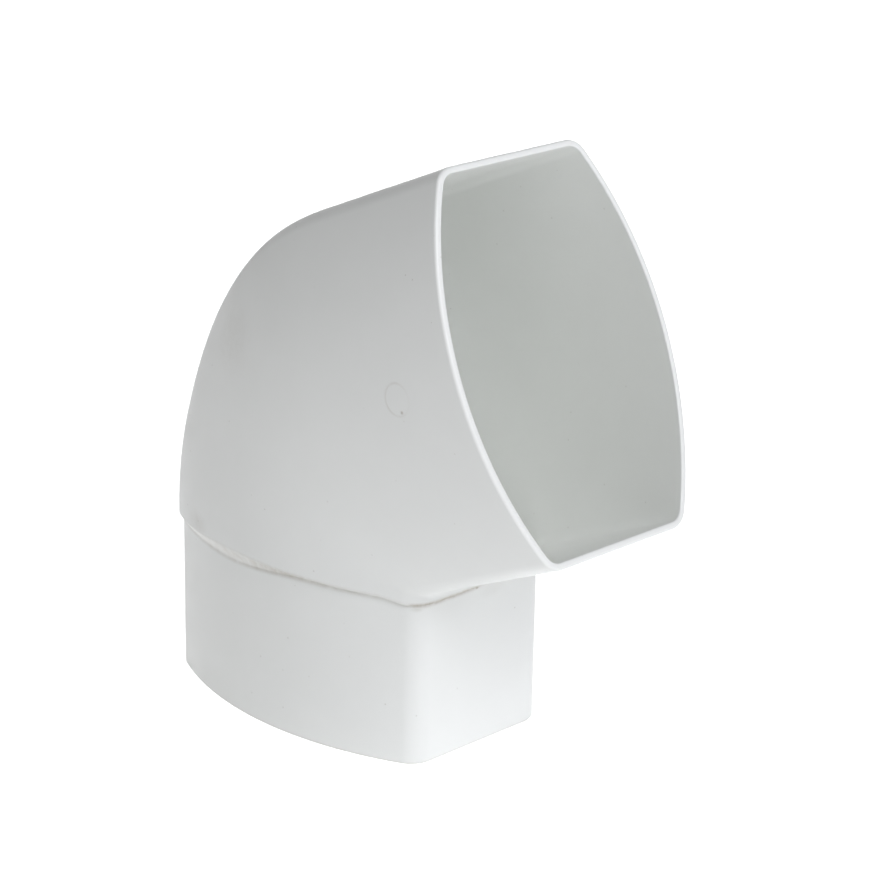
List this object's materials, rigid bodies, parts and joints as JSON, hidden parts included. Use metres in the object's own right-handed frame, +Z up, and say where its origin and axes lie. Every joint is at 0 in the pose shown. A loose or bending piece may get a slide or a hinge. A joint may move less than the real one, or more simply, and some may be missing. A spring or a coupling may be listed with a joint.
{
  "type": "downspout elbow",
  "caption": "White moulded plastic elbow for an ovoid downspout, with a plain spigot below a small shoulder and a wider socket turned out to the side.",
  "frame": {"origin": "centre of the spigot's lower end, on the plane that the elbow stands on", "axes": "+Z up along the spigot, +X towards the side that the socket's mouth faces, Y across the symmetry plane"},
  "size_m": [0.1586, 0.083, 0.1784],
  "materials": {
    "elbow": "satin white PVC"
  },
  "bodies": {
    "root": {"elbow": "elbow"}
  },
  "joints": []
}
